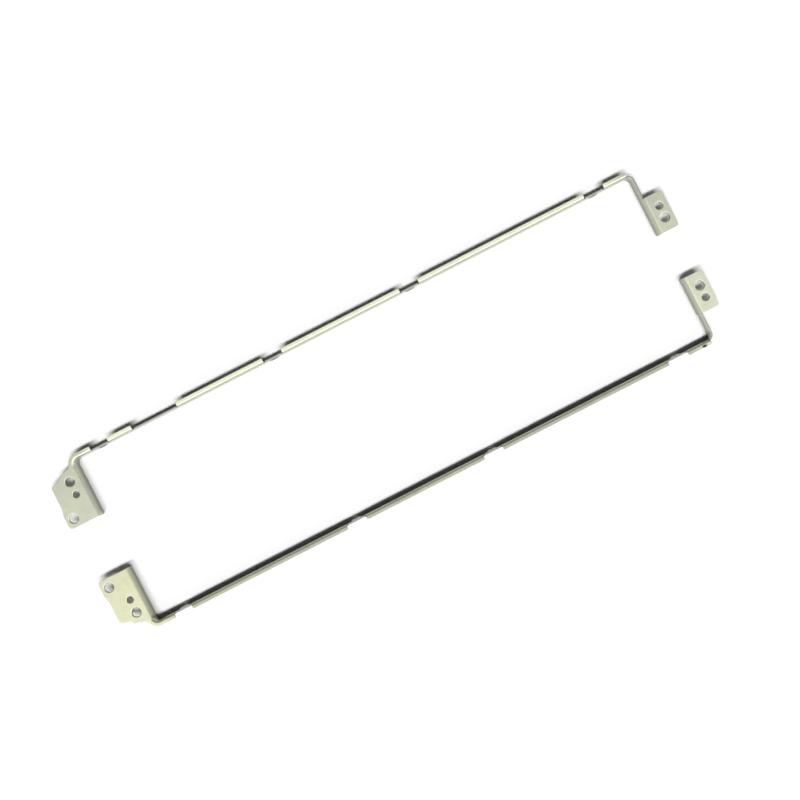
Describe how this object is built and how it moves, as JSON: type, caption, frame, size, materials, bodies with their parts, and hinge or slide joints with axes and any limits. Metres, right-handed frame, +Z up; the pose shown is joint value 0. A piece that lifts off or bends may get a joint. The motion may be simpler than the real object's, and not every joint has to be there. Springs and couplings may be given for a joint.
{
  "type": "laptop screen bracket pair",
  "caption": "Left and right folded sheet-steel side brackets for a laptop screen, each a notched angle rail with short arms, a drilled end plate and a drilled tab.",
  "frame": {"origin": "under the middle of the pair, on the surface that both walls' lower edges lie on", "axes": "+X along the rails from the three-hole plates to the tabs, +Y from the right bracket to the left one, +Z up from the surface to the flanges"},
  "size_m": [0.2234, 0.0632, 0.006],
  "materials": {
    "plated_steel": "satin plated sheet, faintly warm"
  },
  "bodies": {
    "root": {"left_bracket": "plated_steel", "right_bracket": "plated_steel"}
  },
  "joints": []
}
